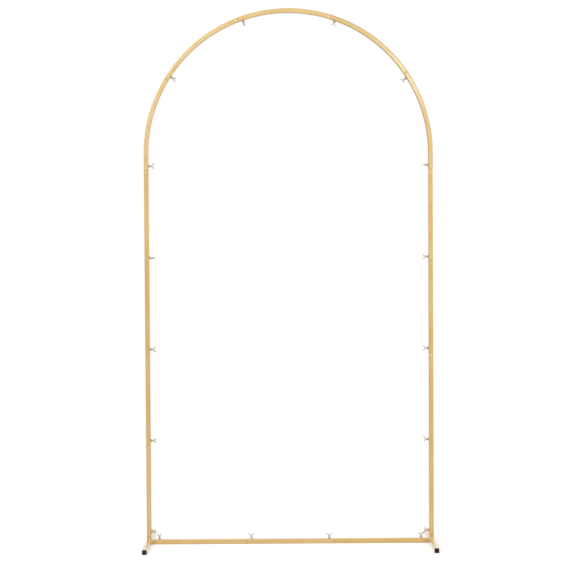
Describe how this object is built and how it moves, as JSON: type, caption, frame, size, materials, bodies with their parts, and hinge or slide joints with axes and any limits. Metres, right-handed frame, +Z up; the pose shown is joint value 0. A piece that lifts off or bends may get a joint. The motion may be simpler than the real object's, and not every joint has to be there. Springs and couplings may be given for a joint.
{
  "type": "wedding arch",
  "caption": "Free-standing knock-down arch of square steel tube with a half-round top, a bottom rail and crosswise feet, joined by sleeves and wing screws.",
  "frame": {"origin": "on the floor, midway between the feet and midway from front to back", "axes": "+Z up, +X to the right seen from the front, +Y from front to back"},
  "size_m": [1.185, 0.4, 2.2],
  "materials": {
    "gold_paint": "satin gold paint",
    "plated_steel": "dull nickel plate",
    "black_plastic": "black moulded"
  },
  "bodies": {
    "root": {"left_foot_tube": "gold_paint", "left_upright_stub": "gold_paint", "left_rail_stub": "gold_paint", "left_front_foot_cap": "black_plastic", "left_rear_foot_cap": "black_plastic", "left_leg_tube_1": "gold_paint", "left_leg_tube_2": "gold_paint", "left_leg_tube_3": "gold_paint", "left_leg_tube_4": "gold_paint", "left_leg_wing_screws": "plated_steel", "right_foot_tube": "gold_paint", "right_upright_stub": "gold_paint", "right_rail_stub": "gold_paint", "right_front_foot_cap": "black_plastic", "right_rear_foot_cap": "black_plastic", "right_leg_tube_1": "gold_paint", "right_leg_tube_2": "gold_paint", "right_leg_tube_3": "gold_paint", "right_leg_tube_4": "gold_paint", "right_leg_wing_screws": "plated_steel", "arch_tube_1": "gold_paint", "arch_tube_2": "gold_paint", "arch_tube_3": "gold_paint", "arch_tube_4": "gold_paint", "arch_tube_5": "gold_paint", "rail_tube_left": "gold_paint", "rail_tube_middle": "gold_paint", "rail_tube_right": "gold_paint", "arch_wing_screws": "plated_steel", "rail_wing_screws": "plated_steel"}
  },
  "joints": []
}
